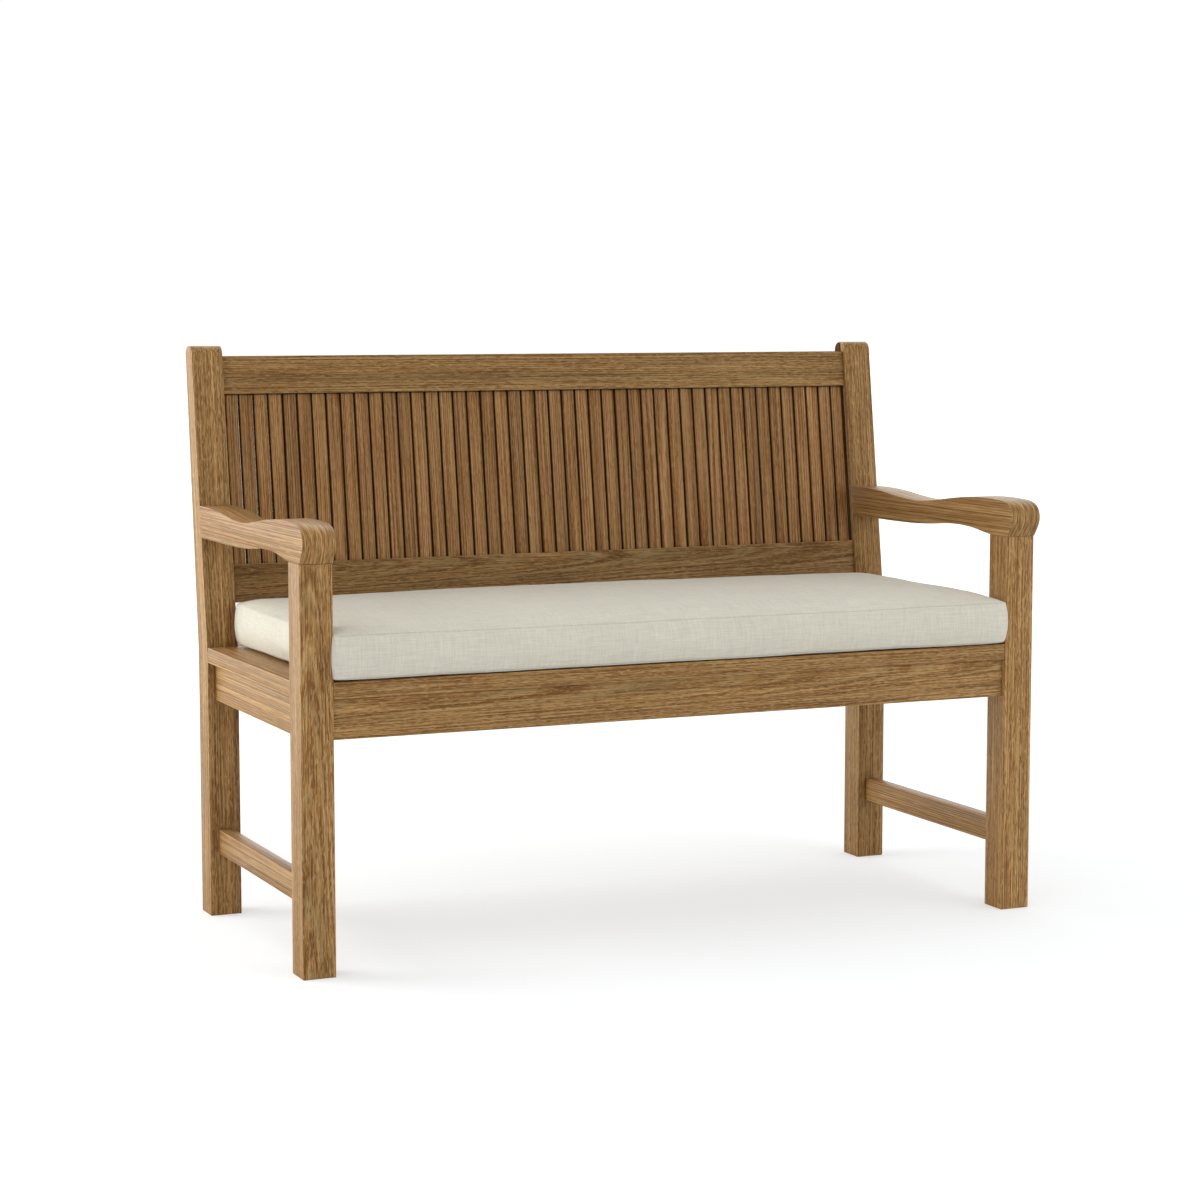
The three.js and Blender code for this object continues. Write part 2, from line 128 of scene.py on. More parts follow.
def veil(name, clear, near, far):
    """A nearly clear sheet that glows, more so far from the bench, so that the shadows on
    the floor stay light and the floor meets the backdrop without a line."""
    material = bpy.data.materials.new(name)
    material.use_nodes = True
    nodes, links = material.node_tree.nodes, material.node_tree.links
    nodes.clear()
    output = nodes.new("ShaderNodeOutputMaterial")
    both = nodes.new("ShaderNodeAddShader")
    through = nodes.new("ShaderNodeBsdfTransparent")
    through.inputs["Color"].default_value = (clear, clear, clear, 1)
    glow = nodes.new("ShaderNodeEmission")
    glow.inputs["Color"].default_value = (0.97, 0.985, 1.0, 1)
    place = nodes.new("ShaderNodeTexCoord")
    distance = nodes.new("ShaderNodeVectorMath")
    distance.operation = "LENGTH"
    spread = nodes.new("ShaderNodeMapRange")
    for key, value in enumerate((1.2, 4.0, near, far), 1):
        spread.inputs[key].default_value = value
    links.new(place.outputs["Object"], distance.inputs[0])
    links.new(distance.outputs["Value"], spread.inputs[0])
    links.new(spread.outputs[0], glow.inputs["Strength"])
    links.new(through.outputs[0], both.inputs[0])
    links.new(glow.outputs[0], both.inputs[1])
    links.new(both.outputs[0], output.inputs["Surface"])
    return material


plane("floor", FLOOR_HALF, 0, matt("pale_floor", FLOOR_ALBEDO))
floor_glow = veil("floor_glow", clear=0.85, near=0.44, far=0.78)
only_for_camera(plane("floor_veil", FLOOR_HALF, VEIL_HEIGHT, floor_glow))


def dome(name, radius, material):
    bpy.ops.mesh.primitive_uv_sphere_add(radius=radius, segments=64, ring_count=32)
    made = bpy.context.object
    made.name = name
    made.data.materials.append(material)
    return made


def bright_side(name, aim, dark, bright):
    """A glow that grows from dark to bright towards one direction of the studio."""
    material = bpy.data.materials.new(name)
    material.use_nodes = True
    nodes, links = material.node_tree.nodes, material.node_tree.links
    nodes.clear()
    output = nodes.new("ShaderNodeOutputMaterial")
    glow = nodes.new("ShaderNodeEmission")
    place = nodes.new("ShaderNodeTexCoord")
    unit = nodes.new("ShaderNodeVectorMath")
    unit.operation = "NORMALIZE"
    towards = nodes.new("ShaderNodeVectorMath")
    towards.operation = "DOT_PRODUCT"
    towards.inputs[1].default_value = Vector(aim).normalized()
    spread = nodes.new("ShaderNodeMapRange")
    for key, value in enumerate((-0.1, 0.6, dark, bright), 1):
        spread.inputs[key].default_value = value
    links.new(place.outputs["Object"], unit.inputs[0])
    links.new(unit.outputs["Vector"], towards.inputs[0])
    links.new(towards.outputs["Value"], spread.inputs[0])
    links.new(spread.outputs[0], glow.inputs["Strength"])
    links.new(glow.outputs[0], output.inputs["Surface"])
    return material


# The camera sees a plain white dome; gloss on the wood mirrors a dome that is bright
# behind and to the left of the bench and dim behind the camera.
only_for_camera(dome("backdrop", BACKDROP_RADIUS, matt("pale_backdrop", (0, 0, 0), glow=1.02)))
studio_gloss = bright_side("studio_gloss", aim=(-0.55, 1.0, 0.45), dark=0.20, bright=1.90)
reflector = dome("reflector", REFLECTOR_RADIUS, studio_gloss)
only_for_camera(reflector)
reflector.visible_camera = False
reflector.visible_glossy = True

world = bpy.data.worlds.new("studio")
world.use_nodes = True
sky = world.node_tree.nodes["Background"]
sky.inputs["Color"].default_value = (0.99, 1.0, 0.985, 1)
sky.inputs["Strength"].default_value = 0.82
scene.world = world
world.cycles_visibility.glossy = False


def area_light(name, place, target, size, power, colour):
    light = bpy.data.lights.new(name, "AREA")
    light.shape = "RECTANGLE"
    light.size, light.size_y = size
    light.energy = power
    light.color = colour
    made = bpy.data.objects.new(name, light)
    scene.collection.objects.link(made)
    made.location = place
    aim = Vector(target) - Vector(place)
    made.rotation_euler = aim.to_track_quat("-Z", "Y").to_euler()
    made.visible_camera = False


area_light("left_back", (-3.2, 1.6, 1.1), (0, 0, 0.40), (2.2, 2.2), 67, (1.0, 1.0, 0.96))
area_light("front_right", (3.0, -3.8, 1.5), (0, 0, 0.4), (2.5, 2.2), 28, (1, 0.99, 0.97))

# ---------------------------------------------------------------- node helper


class Shader:
    """A node material built from nested calls."""

    def __init__(self, name):
        self.material = bpy.data.materials.new(name)
        self.material.use_nodes = True
        self.tree = self.material.node_tree
        self.bsdf = self.tree.nodes["Principled BSDF"]

    def put(self, socket, value):
        if isinstance(value, bpy.types.NodeSocket):
            self.tree.links.new(value, socket)
        elif value is not None:
            socket.default_value = value

    def node(self, kind, output, inputs=(), **settings):
        made = self.tree.nodes.new("ShaderNode" + kind)
        for key, value in settings.items():
            setattr(made, key, value)
        named = inputs.items() if isinstance(inputs, dict) else enumerate(inputs)
        for key, value in named:
            self.put(made.inputs[key], value)
        return made.outputs[output]

    def math(self, operation, *inputs, clamp=False):
        return self.node("Math", 0, inputs, operation=operation, use_clamp=clamp)

    def vector(self, operation, *inputs):
        output = "Value" if operation == "LENGTH" else "Vector"
        return self.node("VectorMath", output, inputs, operation=operation)

    def join(self, x, y, z):
        return self.node("CombineXYZ", 0, (x, y, z))

    def split(self, vector):
        made = self.tree.nodes.new("ShaderNodeSeparateXYZ")
        self.put(made.inputs[0], vector)
        return made.outputs[0], made.outputs[1], made.outputs[2]

    def noise(self, vector, scale, detail=2.0, roughness=0.5, output="Fac"):
        """Noise with its own scale along each axis, in cycles a metre."""
        scaled = self.vector("MULTIPLY", vector, scale)
        return self.node(
            "TexNoise",
            output,
            {"Vector": scaled, "Scale": 1.0, "Detail": detail, "Roughness": roughness},
        )

    def noise_1d(self, value, detail=2.0, roughness=0.5):
        return self.node(
            "TexNoise",
            "Fac",
            {"W": value, "Scale": 1.0, "Detail": detail, "Roughness": roughness},
            noise_dimensions="1D",
        )

    def ramp(self, fac, stops):
        made = self.tree.nodes.new("ShaderNodeValToRGB")
        elements = made.color_ramp.elements
        while len(elements) < len(stops):
            elements.new(0.5)
        for element, (place, colour) in zip(elements, stops):
            element.position = place
            element.color = (*colour, 1)
        self.put(made.inputs["Fac"], fac)
        return made.outputs["Color"]

    def remap(self, value, low, high, to_low=0.0, to_high=1.0):
        return self.node("MapRange", 0, (value, low, high, to_low, to_high), clamp=True)

    def mix(self, fac, a, b, blend="MIX"):
        made = self.tree.nodes.new("ShaderNodeMix")
        made.data_type = "RGBA"
        made.blend_type = blend
        self.put(made.inputs["Factor"], fac)
        self.put(made.inputs[6], a)
        self.put(made.inputs[7], b)
        return made.outputs[2]

    def mix_vector(self, fac, a, b):
        made = self.tree.nodes.new("ShaderNodeMix")
        made.data_type = "VECTOR"
        self.put(made.inputs["Factor"], fac)
        self.put(made.inputs[4], a)
        self.put(made.inputs[5], b)
        return made.outputs[1]

    def grey(self, value):
        return self.node("CombineColor", 0, (value, value, value))

    def bump(self, height, distance, strength):
        return self.node(
            "Bump", 0, {"Height": height, "Distance": distance, "Strength": strength}
        )


# ---------------------------------------------------------------- teak

TEAK_DARK = (0.180, 0.072, 0.0215)
TEAK_MID = (0.350, 0.177, 0.0595)
TEAK_LIGHT = (0.492, 0.302, 0.130)
TEAK_PORE = (0.130, 0.044, 0.011)
TEAK_FLECK = (0.560, 0.375, 0.180)
TEAK_SHEEN = (0.96, 0.86, 0.46)
TEAK_GLOSS = 0.38
TEAK_GAIN = 1.04
SLAT_TINT = (1.07, 0.97, 0.98)
SLAT_GLOSS = 0.42

# The posts are upright to the bend, then their front faces lean back.
BEND_HEIGHT = 0.417
LEAN_ANGLE = math.radians(7.907)
LEAN = math.tan(LEAN_ANGLE)
POST_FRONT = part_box("rear_post_left")[0].y
SLAT_DEPTH = 0.0125  # slats' front faces behind the posts'
SLAT_FACE = 0.0165  # slats' front faces ahead of the rails' backs

SLATS = sorted(n for n in frame["nodes"] if n.startswith("back_slats"))
# The second pair is a whole one; the first slat is narrower, beside its post.
pair_low, pair_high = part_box(SLATS[1])
next_low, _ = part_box(SLATS[2])
SLAT_PITCH = (next_low.x - pair_low.x) / 2
SLAT_START = pair_low.x - (SLAT_PITCH - (pair_high.x - pair_low.x) / 2) - 2 * SLAT_PITCH
LOWER_RAIL_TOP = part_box("back_lower_rail")[1].z
# Height where the slats' front faces go up into the top rail.
UNDER_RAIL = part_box("back_top_rail")[0].z + SLAT_FACE * math.sin(LEAN_ANGLE)


def grain_space(s, grain, centre, leans):
    """The point's place with the grain along the third axis, from the piece's centre."""
    x, y, z = s.split(s.node("TexCoord", "Object"))
    if leans:
        above = s.math("MAXIMUM", s.math("SUBTRACT", z, BEND_HEIGHT), 0.0)
        straight = s.math("SUBTRACT", y, s.math("MULTIPLY", above, LEAN))
        base = Vector((centre.x, centre.y - LEAN * max(0, centre.z - BEND_HEIGHT), centre.z))
        return s.vector("SUBTRACT", s.join(x, straight, z), base)
    if grain == "Z":
        return s.vector("SUBTRACT", s.join(x, y, z), centre)
    if grain == "X":
        return s.vector("SUBTRACT", s.join(y, z, x), (centre.y, centre.z, centre.x))
    # On top and over a rounded nose the lines keep to their place across the piece.
    aside = s.vector("SUBTRACT", s.join(x, z, y), (centre.x, centre.z, centre.y))
    over = s.join(x, s.math("MULTIPLY", z, 0.1), s.math("SUBTRACT", y, z))
    over = s.vector("SUBTRACT", over, (centre.x, centre.z * 0.1, centre.y - centre.z))
    sideways = s.math("ABSOLUTE", s.split(s.node("TexCoord", "Normal"))[0])
    return s.mix_vector(s.math("GREATER_THAN", sideways, 0.6), over, aside)


def slat_shade(s, shade, from_middle, own_tone):
    """Paints shade on a slat: darker towards its gaps, a painted shadow under the top rail, and
    darker and without gloss on its sawn edges, which face into the gaps. It also gives each slat
    its own tone, a little lighter on its left than its right.
    """
    z = s.split(s.node("TexCoord", "Object"))[2]
    shade = s.math("MULTIPLY", shade, s.remap(own_tone, 0.0, 1.0, 0.90, 1.10))
    shade = s.math("MULTIPLY", shade, s.remap(from_middle, -0.5, 0.5, 1.08, 0.92))
    # Painted shade towards the gaps between the slats.
    from_gap = s.math("SUBTRACT", 0.5, s.math("ABSOLUTE", from_middle))
    shade = s.math("MULTIPLY", shade, s.remap(from_gap, 0.06, 0.16, 0.62, 1.0))
    # Painted shadow of the top rail on the slats just below it.
    below_rail = s.math("SUBTRACT", UNDER_RAIL, z)
    shade = s.math("MULTIPLY", shade, s.remap(below_rail, 0.0010, 0.0030, 0.22, 1.0))
    # Painted shade on the sawn edges inside the gaps, which also lose their gloss.
    sideways = s.math("ABSOLUTE", s.split(s.node("TexCoord", "Normal"))[0])
    s.put(s.bsdf.inputs["Specular IOR Level"], s.remap(sideways, 0.30, 0.80, SLAT_GLOSS, 0.0))
    return s.math("MULTIPLY", shade, s.remap(sideways, 0.30, 0.80, 1.0, 0.50))


def post_shade(s, shade, side):
    """Paints shade on a post's inner face: dark and without gloss where the end slat's gap shows
    it.
    """
    _, y, z = s.split(s.node("TexCoord", "Object"))
    above = s.math("MAXIMUM", s.math("SUBTRACT", z, BEND_HEIGHT), 0.0)
    straight = s.math("SUBTRACT", y, s.math("MULTIPLY", above, LEAN))
    depth = s.math("SUBTRACT", straight, POST_FRONT)
    inward = s.math("MULTIPLY", s.split(s.node("TexCoord", "Normal"))[0], -side)
    shaded_strip = s.remap(depth, SLAT_DEPTH - 0.0015, SLAT_DEPTH)
    shaded_strip = s.math("MULTIPLY", shaded_strip, s.math("GREATER_THAN", inward, 0.5))
    shaded_strip = s.math("MULTIPLY", shaded_strip, s.math("GREATER_THAN", z, LOWER_RAIL_TOP))
    # Painted shade: the strip loses its gloss and is darkened.
    s.put(s.bsdf.inputs["Specular IOR Level"], s.remap(shaded_strip, 0.0, 1.0, TEAK_GLOSS, 0.0))
    return s.math("MULTIPLY", shade, s.remap(shaded_strip, 0.0, 1.0, 1.0, 0.3))


def teak(
    name,
    grain,
    centre,
    seed,
    tone_and_painted_light=1.0,
    pith=(0.15, 0.15),
    tilt=(0, 0),
    figure=0.5,
    leans=False,
    per_slat=False,
):
    """Teak with growth rings round a pith beside the piece, seen on each face as straight
    grain or as cathedrals. grain is the axis the wood grows along, pith is its offset
    across the grain from the piece's centre, tilt is how that offset grows along the
    grain, and figure is how strongly the rings show through the fibres. A piece that
    leans follows the back's slope above the bend. per_slat gives each slat its own wood."""
    s = Shader(name)
    draw = random.Random(seed)
    here = grain_space(s, grain, centre, leans)
    shift = tuple(draw.uniform(-3, 3) for _ in range(3))
    moved = s.vector("ADD", here, shift)
    across = here
    if per_slat:
        x = s.split(s.node("TexCoord", "Object"))[0]
        counted = s.math("DIVIDE", s.math("SUBTRACT", x, SLAT_START), SLAT_PITCH)
        from_middle = s.math("SUBTRACT", s.math("FRACT", counted), 0.5)
        number = s.math("FLOOR", counted)
        apart = s.node("TexWhiteNoise", "Color", {"W": number}, noise_dimensions="1D")
        own_tone = s.split(apart)[0]
        moved = s.vector("ADD", moved, s.vector("MULTIPLY", apart, (5, 5, 5)))
        across = s.vector("ADD", across, s.vector("MULTIPLY", apart, (0.08, 0.08, 0)))

    # Growth rings, straying a little along their length.
    stray = s.noise(moved, (9, 9, 1.8), 2.0, 0.5, "Color")
    stray = s.vector("SUBTRACT", stray, (0.5, 0.5, 0.5))
    stray = s.vector("MULTIPLY", stray, (0.010, 0.010, 0))
    along = s.split(here)[2]
    slope = s.vector("MULTIPLY", s.join(along, along, 0.0), (*tilt, 0))
    flat = s.vector("SUBTRACT", s.vector("SUBTRACT", across, slope), (*pith, 0))
    flat = s.vector("MULTIPLY", flat, (1, 1, 0))
    radius = s.vector("LENGTH", s.vector("ADD", flat, stray))
    uneven = s.noise_1d(s.math("MULTIPLY", radius, 70.0), 2.0, 0.6)
    turns = s.math("ADD", s.math("MULTIPLY", radius, 1900.0), s.math("MULTIPLY", uneven, 20.0))
    wave = s.math("SINE", turns)
    regular = s.remap(wave, -1.0, 1.0, 0.30, 0.70)
    rings = s.noise_1d(s.math("MULTIPLY", radius, 560.0), 1.0, 0.5)
    rings = s.math("ADD", s.math("MULTIPLY", rings, 0.5), s.math("MULTIPLY", regular, 0.5))
    broad = s.noise_1d(s.math("MULTIPLY", radius, 110.0), 1.0, 0.5)

    # Armrests and side rails have the longer fibres; they and the slats have fewer pores.
    run = 0.25 if grain == "Y" else 1.0
    calm = per_slat or grain == "Y"
    pore_share, fleck_share = (0.40, 0.28) if calm else (0.62, 0.45)
    late_tone = 0.92 if per_slat else 0.84 if grain == "Y" else 0.76
    fibre = s.noise(moved, (560, 560, 6 * run), 1.0, 0.6)
    pores = s.noise(moved, (640, 640, 62 * run), 1.0, 0.5)
    flecks = s.noise(moved, (680, 680, 90 * run), 1.0, 0.5)
    band = s.noise(moved, (55, 55, 1.2), 2.0, 0.5)
    mottle = s.noise(moved, (22, 22, 9), 3.0, 0.55)

    blend = s.math("MULTIPLY", rings, figure)
    blend = s.math("ADD", blend, s.math("MULTIPLY", fibre, 1 - figure))
    colour = s.ramp(blend, [(0.39, TEAK_DARK), (0.50, TEAK_MID), (0.61, TEAK_LIGHT)])
    pore = s.remap(pores, 0.54, 0.63)
    colour = s.mix(s.math("MULTIPLY", pore, pore_share), colour, (*TEAK_PORE, 1))
    fleck = s.remap(flecks, 0.56, 0.65)
    colour = s.mix(s.math("MULTIPLY", fleck, fleck_share), colour, (*TEAK_FLECK, 1))

    late_wood = s.remap(wave, 0.1, 0.95, 1.0, late_tone)
    shade = s.math("MULTIPLY", late_wood, s.remap(band, 0.25, 0.75, 0.87, 1.17))
    shade = s.math("MULTIPLY", shade, s.remap(broad, 0.25, 0.75, 0.90, 1.10))
    shade = s.math("MULTIPLY", shade, s.remap(mottle, 0.25, 0.75, 0.94, 1.06))
    # tone_and_painted_light is the piece's own tone together with the painted light and shade
    # set for it.
    shade = s.math("MULTIPLY", shade, tone_and_painted_light * TEAK_GAIN)
    # Slats get painted shade at their gaps and under the top rail, and rear posts on their inner
    # faces beside the end gaps.
    if per_slat:
        shade = slat_shade(s, shade, from_middle, own_tone)
        colour = s.mix(1.0, colour, (*SLAT_TINT, 1), "MULTIPLY")
    elif leans:
        shade = post_shade(s, shade, math.copysign(1.0, centre.x))
    else:
        s.bsdf.inputs["Specular IOR Level"].default_value = TEAK_GLOSS
    colour = s.mix(1.0, colour, s.grey(shade), "MULTIPLY")
    s.put(s.bsdf.inputs["Base Color"], colour)
    s.put(s.bsdf.inputs["Roughness"], s.remap(blend, 0.35, 0.65, 0.50, 0.36))
    s.bsdf.inputs["Specular Tint"].default_value = (*TEAK_SHEEN, 1)
    relief = s.math("SUBTRACT", blend, s.math("MULTIPLY", pore, 0.5))
    s.put(s.bsdf.inputs["Normal"], s.bump(relief, 0.0006, 0.4))
    return s.material


EASING = 0.0013
SLAT_EASING = 0.0006
ARRIS_SLOT = 1


def frame_object(node):
    return next(o for o in scene.objects if o.get("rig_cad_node") == node)


def ease(node):
    """Welds a CAD node's triangles into flat faces and rounds its arrises."""
    piece = frame_object(node)
    for polygon in piece.data.polygons:
        polygon.use_smooth = True
    weld = piece.modifiers.new("weld", "WELD")
    weld.merge_threshold = 0.00001
    flat = piece.modifiers.new("flat", "DECIMATE")
    flat.decimate_type = "DISSOLVE"
    flat.angle_limit = math.radians(0.5)
    arris = piece.modifiers.new("arris", "BEVEL")
    arris.width = SLAT_EASING if node in SLATS else EASING
    arris.segments = 2
    arris.limit_method = "ANGLE"
    arris.angle_limit = math.radians(40)
    arris.harden_normals = True
    arris.material = ARRIS_SLOT
    return piece


UPRIGHT = ("front_leg", "rear_post", "back_slats")
FRONT_TO_BACK = ("armrest", "stretcher", "apron_left", "apron_right", "seat_side", "seat_bearer")


def grain_of(node):
    if node.startswith(UPRIGHT):
        return "Z"
    return "Y" if node.startswith(FRONT_TO_BACK) else "X"


# How light each piece is, where it isn't as drawn at random. This is partly each board's own
# tone and partly painted light and shade: the lower back rail, the right armrest and the right
# post are darker as painted shade, the right front leg lighter as painted light.
TONES_WITH_PAINTED_LIGHT = {
    "armrest_left": 1.04,
    "armrest_right": 0.93,
    "front_leg_left": 1.03,
    "front_leg_right": 1.15,
    "rear_post_left": 0.98,
    "rear_post_right": 0.90,
    "back_lower_rail": 0.70,
    "back_top_rail": 0.85,
}
# Pieces with flame figure: pith offset, tilt and how strongly it shows.
FIGURED = {
    "front_leg_left": ((-0.012, 0.032), (0.0, 0.035), 0.5),
    "apron_front": ((0.040, 0.025), (0.020, 0.004), 0.5),
    "apron_left": ((0.05, 0.12), (0.02, 0.0), 0.5),
    "back_lower_rail": ((0.035, 0.014), (0.026, 0.0), 0.6),
}

# The rounded arrises get a lighter teak, a painted highlight, as if they catch a little more
# light than the faces beside them.
arris_highlight = {
    axis: teak(f"teak_arris_highlight_{axis}", axis, Vector((0, 0, 0)), 900 + i, 1.18)
    for i, axis in enumerate("XYZ")
}
# The slats' tone of 0.78 is partly their own darker wood and partly painted shade, as they stand
# back between the posts.
slat_material = teak(
    "teak_slats", "Z", Vector((0, 0, 0)), 77, 0.78, (0.3, 0.02), leans=True, per_slat=True
)


def own_teak(index, node, axis):
    """The teak of one piece, with its own place in the log."""
    low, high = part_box(node)
    draw = random.Random(index)
    spread = (draw.choice((-1, 1)) * draw.uniform(0.03, 0.12), draw.uniform(0.10, 0.22))
    if axis != "X":
        spread = (draw.choice((-1, 1)) * draw.uniform(0.12, 0.20), draw.uniform(0.10, 0.16))
    pith, tilt, figure = FIGURED.get(node, (spread, (0, 0), 0.5))
    tone_and_painted_light = TONES_WITH_PAINTED_LIGHT.get(node, draw.uniform(0.96, 1.04))
    leans = node.startswith("rear_post")
    centre = (low + high) / 2
    return teak(f"teak_{node}", axis, centre, index, tone_and_painted_light, pith, tilt, figure, leans)


for index, node in enumerate(sorted(frame["nodes"])):
    if node == "seat_cushion":
        continue
    axis = grain_of(node)
    piece = ease(node)
    piece.data.materials.clear()
    if node in SLATS:
        piece.data.materials.append(slat_material)
        piece.data.materials.append(slat_material)
    else:
        piece.data.materials.append(own_teak(index, node, axis))
        piece.data.materials.append(arris_highlight[axis])

# ---------------------------------------------------------------- cushion

cushion_low, cushion_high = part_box("seat_cushion")
leg_low, leg_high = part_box("front_leg_left")
post_low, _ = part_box("rear_post_left")
seat_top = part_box("seat_front_board")[1].z

UNDERSIDE = seat_top + 0.0008
SEAM_TOP = seat_top + 0.0665  # the sewn edges, before the fabric is blown out
SEAM_BOTTOM = seat_top + 0.0025
LEFT_INSET, RIGHT_INSET = -0.0025, 0.0015
FRONT_INSET, REAR_INSET = 0.0045, 0.0
SIDE_BULGE = 0.0085
CROWN, CROWN_REACH, CROWN_ROUND = 0.0110, 0.026, 0.034
CORNER_RADIUS = 0.010
CELL = 0.008


def spread_cells(low, high):
    """Places from low to high, a cell apart, with narrow cells beside the two seams."""
    near = (0.0, 0.0013, 0.0036)
    inner_low, inner_high = low + near[-1], high - near[-1]
    count = max(1, round((inner_high - inner_low) / CELL))
    middle = [inner_low + (inner_high - inner_low) * i / count for i in range(count + 1)]
    return np.array([low + near[0], low + near[1], *middle, high - near[1], high])


def cushion_cover():
    """The sewn cover as a box of quads with rounded upright corners, its foam's soft
    shape already in it, and which of its points lie on the top and the bottom seam."""
    xs = spread_cells(cushion_low.x + LEFT_INSET, cushion_high.x - RIGHT_INSET)
    ys = spread_cells(cushion_low.y + FRONT_INSET, cushion_high.y - REAR_INSET)
    zs = spread_cells(SEAM_BOTTOM, SEAM_TOP)
    last = (len(xs) - 1, len(ys) - 1, len(zs) - 1)
    index, faces = {}, []

    def point(key):
        return index.setdefault(tuple(key), len(index))

    # Each side of the box is the grid of two axes, at one end of the third.
    for fixed, first, second in ((2, 0, 1), (1, 2, 0), (0, 1, 2)):
        for end in (0, last[fixed]):
            for i in range(last[first]):
                for j in range(last[second]):
                    ring = []
                    for di, dj in ((0, 0), (1, 0), (1, 1), (0, 1)):
                        key = [0, 0, 0]
                        key[fixed], key[first], key[second] = end, i + di, j + dj
                        ring.append(point(key))
                    faces.append(ring if end else ring[::-1])
    keys = np.array(list(index))
    points = np.stack([xs[keys[:, 0]], ys[keys[:, 1]], zs[keys[:, 2]]], axis=1)
    border = (keys[:, 0] % last[0] == 0) | (keys[:, 1] % last[1] == 0)
    top_seam = border & (keys[:, 2] == last[2])
    bottom_seam = border & (keys[:, 2] == 0)

    half = np.array([xs[-1] - xs[0], ys[-1] - ys[0]]) / 2
    middle = np.array([xs[-1] + xs[0], ys[-1] + ys[0]]) / 2
    flat = points[:, :2] - middle
    inset = half - np.abs(flat)
    # Near a corner the square plan is drawn in to a round one.
    beyond = CORNER_RADIUS - inset
    corner = (beyond > 0).all(axis=1)
    reach = beyond[corner]
    reach *= (reach.max(axis=1) / np.maximum(np.linalg.norm(reach, axis=1), 1e-9))[:, None]
    flat[corner] = np.sign(flat[corner]) * (half - CORNER_RADIUS + reach)
    # The boxing swells outwards between its two seams.
    rise = (points[:, 2] - SEAM_BOTTOM) / (SEAM_TOP - SEAM_BOTTOM)
    outward = np.sign(flat) * np.maximum(CORNER_RADIUS - (half - np.abs(flat)), 0)
    length = np.maximum(np.linalg.norm(outward, axis=1), 1e-9)[:, None]
    arch = np.sin(np.pi * rise.clip(0, 1))
    full = arch**0.45
    # At the two ends the boxing runs on into the top in one round.
    rounded = np.where(rise < 0.5, full, 0.55 + 0.45 * arch)
    at_end = (np.abs(outward[:, 0]) / length[:, 0]) ** 2
    swell = np.where(border, SIDE_BULGE * (full + at_end * (rounded - full)), 0)
    flat += outward / length * swell[:, None]
    points[:, :2] = flat + middle
    # The top panel crowns: it rolls over at the two ends and rises more gently from the
    # front and the rear seam.
    along, deep = np.maximum(inset, 0).T
    rolled = np.sqrt(1 - (1 - np.minimum(along / CROWN_ROUND, 1)) ** 2)
    risen = 1 - np.exp(-deep / CROWN_REACH)
    points[:, 2] += (keys[:, 2] == last[2]) * CROWN * rolled * risen
    return points, faces, top_seam, bottom_seam


def blow_up(cover, frames=20, pressure=0.35):
    """Fills the cover with a cloth simulation and returns its points."""
    cloth = cover.modifiers.new("cloth", "CLOTH")
    settings = cloth.settings
    settings.quality = 5
    settings.mass = 0.3
    settings.tension_stiffness = settings.compression_stiffness = 60
    settings.shear_stiffness = 30
    settings.bending_stiffness = 1.0
    settings.use_pressure = True
    settings.uniform_pressure_force = pressure
    settings.effector_weights.gravity = 0
    cloth.point_cache.frame_start = 1
    cloth.point_cache.frame_end = frames
    for number in range(1, frames + 1):
        scene.frame_set(number)
    evaluated = cover.evaluated_get(bpy.context.evaluated_depsgraph_get())
    blown = np.array([v.co for v in evaluated.data.vertices])
    cover.modifiers.remove(cloth)
    scene.frame_set(1)
    return blown


def soft_limit(value, limit):
    return limit * np.tanh(value / limit)


def normals_of(mesh):
    mesh.update()
    return np.array([v.normal for v in mesh.vertices])


CAP = np.array([0.006, 0.006, 0.007])  # the furthest the cloth may move a point
GROOVE = 0.0013
PUCKER_PITCH = 0.021
LEG_GAP = 0.0008
GIVE_FRONT, GIVE_BACK = 0.004, 0.008  # how far from a leg the cushion gives way to it
LUMP, SMALL_LUMP = 0.0011, 0.0004
rear_stop = post_low.y - LEG_GAP

points, faces, top_seam, bottom_seam = cushion_cover()
cushion = mesh_object("cushion", points.tolist(), faces)
points = points + soft_limit(blow_up(cushion) - points, CAP)

# Faint unevenness in the filling, then the pull of the seams.
for index, place in enumerate(points):
    where = Vector(place)
    lump = noise.noise(where * 9) * LUMP
    lump += noise.noise(where * 28 + Vector((7, 3, 1))) * SMALL_LUMP
    points[index] += np.array([lump * 0.6, lump * 0.6, lump])
cushion.data.vertices.foreach_set("co", points.astype(np.float32).ravel())
normals = normals_of(cushion.data)
at_end = np.abs(points[:, 0]) > cushion_high.x - CORNER_RADIUS / 2
seam = (top_seam | bottom_seam) * np.where(at_end, 0.1, 1.0)
along = points[:, 0] + points[:, 1]
pucker = GROOVE * seam * (1 + 0.25 * np.sin(along * 2 * math.pi / PUCKER_PITCH))
points -= normals * pucker[:, None]

# It lies flat on the seat, and gives where a leg or a post stands in its way.
points[:, 2] = np.maximum(points[:, 2], UNDERSIDE)
x, y = np.abs(points[:, 0]), points[:, 1]
beside_leg = (y > leg_low.y - GIVE_FRONT) & (y < leg_high.y + GIVE_BACK)
room = -leg_high.x - LEG_GAP
ease_front = np.clip((leg_low.y - y) / GIVE_FRONT, 0, 1) * 0.004
ease_back = np.clip((y - leg_high.y) / GIVE_BACK, 0, 1) ** 2 * 0.006
x = np.minimum(x, np.where(beside_leg, room + ease_front + ease_back, np.inf))
points[:, 0] = np.sign(points[:, 0]) * x
points[:, 1] = np.where(x > room - 0.001, np.minimum(y, rear_stop), y)
cushion.data.vertices.foreach_set("co", points.astype(np.float32).ravel())
cushion.data.update()

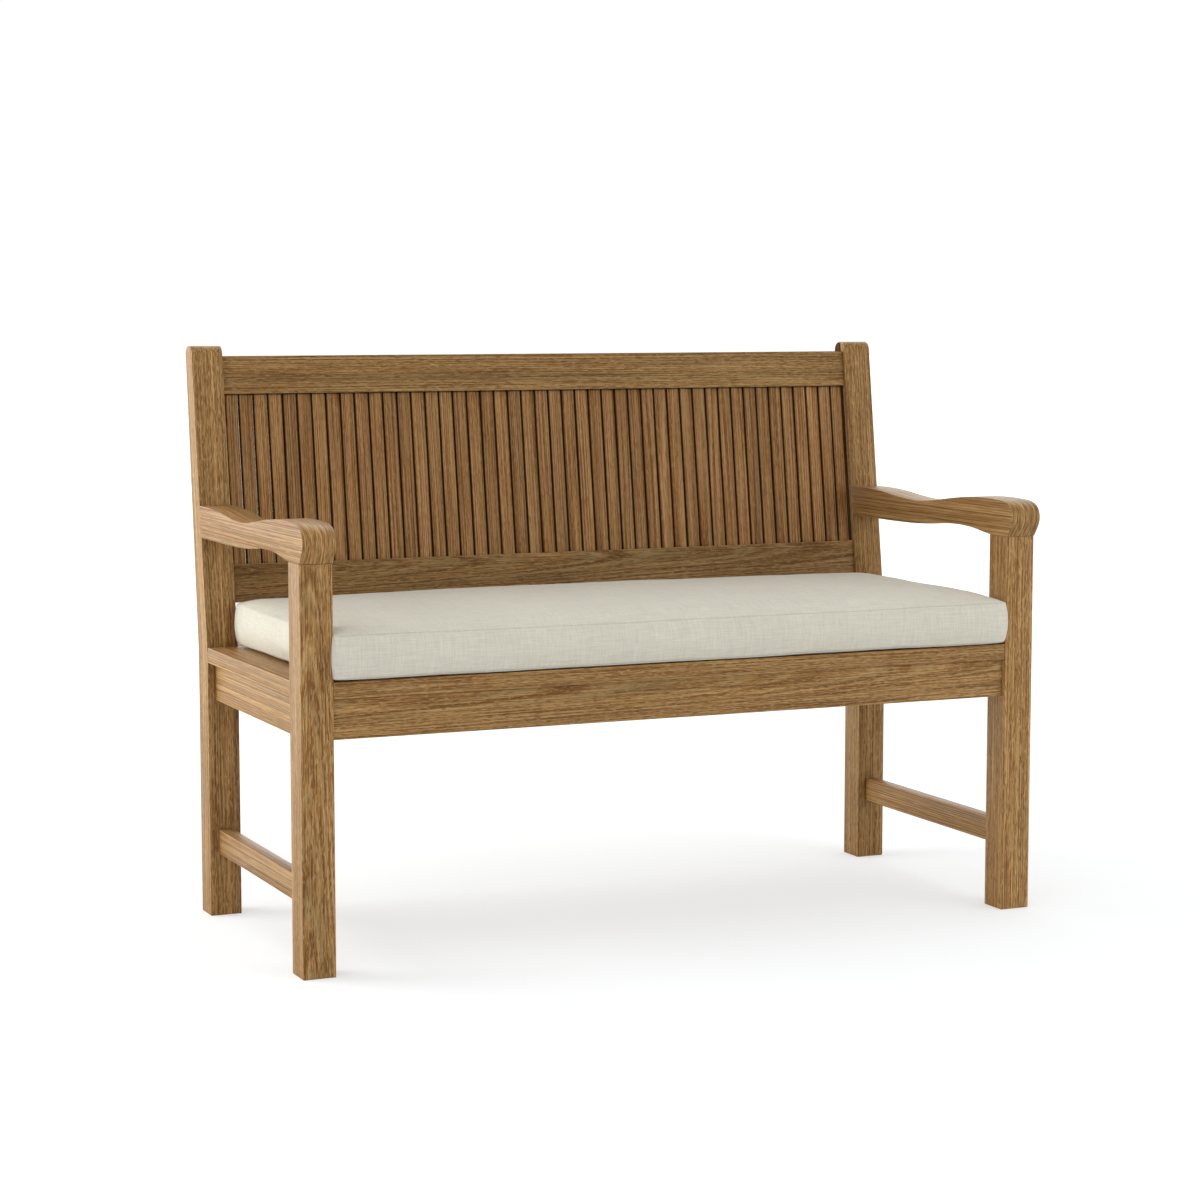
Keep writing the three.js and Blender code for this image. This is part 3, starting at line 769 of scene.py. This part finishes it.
seam_mask = cushion.data.attributes.new("seam", "FLOAT", "POINT")
seam_mask.data.foreach_set("value", seam.astype(np.float32))
for polygon in cushion.data.polygons:
    polygon.use_smooth = True
smooth = cushion.modifiers.new("smooth", "SUBSURF")
smooth.levels = smooth.render_levels = 1

LINEN = (0.702, 0.670, 0.572)


THREAD_PITCH = 0.0011


def linen():
    """A plain-woven outdoor linen look: uneven threads both ways, matt, a little fuzz."""
    s = Shader("linen")
    coordinates = s.node("TexCoord", "Object")
    x, y, z = s.split(coordinates)
    nx, ny, nz = s.split(s.vector("ABSOLUTE", s.node("TexCoord", "Normal")))
    # The weave follows whichever panel the point is on.
    on_top = s.math("GREATER_THAN", nz, 0.62)
    on_end = s.math("GREATER_THAN", nx, ny)
    side = s.mix_vector(on_end, s.join(x, z, y), s.join(y, z, x))
    cloth = s.mix_vector(on_top, side, s.join(x, y, z))
    warp = s.noise(cloth, (520, 26, 30), 2.0, 0.6)
    weft = s.noise(cloth, (26, 520, 30), 2.0, 0.6)
    warp_fine = s.noise(cloth, (1150, 60, 60), 1.0, 0.5)
    weft_fine = s.noise(cloth, (60, 1150, 60), 1.0, 0.5)
    u, v, _ = s.split(cloth)
    thread = 2 * math.pi / THREAD_PITCH
    over = s.math(
        "MULTIPLY",
        s.math("SINE", s.math("MULTIPLY", u, thread)),
        s.math("SINE", s.math("MULTIPLY", v, thread)),
    )
    threads = s.math("ADD", warp, weft)
    fine = s.math("ADD", warp_fine, weft_fine)
    shade = s.remap(threads, 0.72, 1.28, 0.925, 1.075)
    shade = s.math("MULTIPLY", shade, s.remap(fine, 0.72, 1.28, 0.96, 1.04))
    shade = s.math("MULTIPLY", shade, s.remap(over, -1, 1, 0.975, 1.025))
    patch = s.noise(coordinates, (7, 7, 7), 2.0, 0.5)
    shade = s.math("MULTIPLY", shade, s.remap(patch, 0.3, 0.7, 0.98, 1.02))
    # Painted shade in the seams' grooves: the cloth is darker along the seams.
    seam_fac = s.node("Attribute", "Fac", (), attribute_name="seam")
    shade = s.math("MULTIPLY", shade, s.remap(seam_fac, 0.15, 1.0, 1.0, 0.80))
    colour = s.mix(1.0, (*LINEN, 1), s.grey(shade), "MULTIPLY")
    s.put(s.bsdf.inputs["Base Color"], colour)
    s.put(s.bsdf.inputs["Roughness"], s.remap(threads, 0.72, 1.28, 0.95, 0.82))
    s.bsdf.inputs["Specular IOR Level"].default_value = 0.2
    s.bsdf.inputs["Sheen Weight"].default_value = 0.12
    s.bsdf.inputs["Sheen Roughness"].default_value = 0.5
    height = s.math("ADD", s.math("MULTIPLY", threads, 0.5), s.math("MULTIPLY", over, 0.35))
    height = s.math("ADD", height, s.math("MULTIPLY", fine, 0.4))
    s.put(s.bsdf.inputs["Normal"], s.bump(height, 0.0004, 0.35))
    return s.material


cushion.data.materials.append(linen())
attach(cushion, "cushion")
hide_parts("seat_cushion")
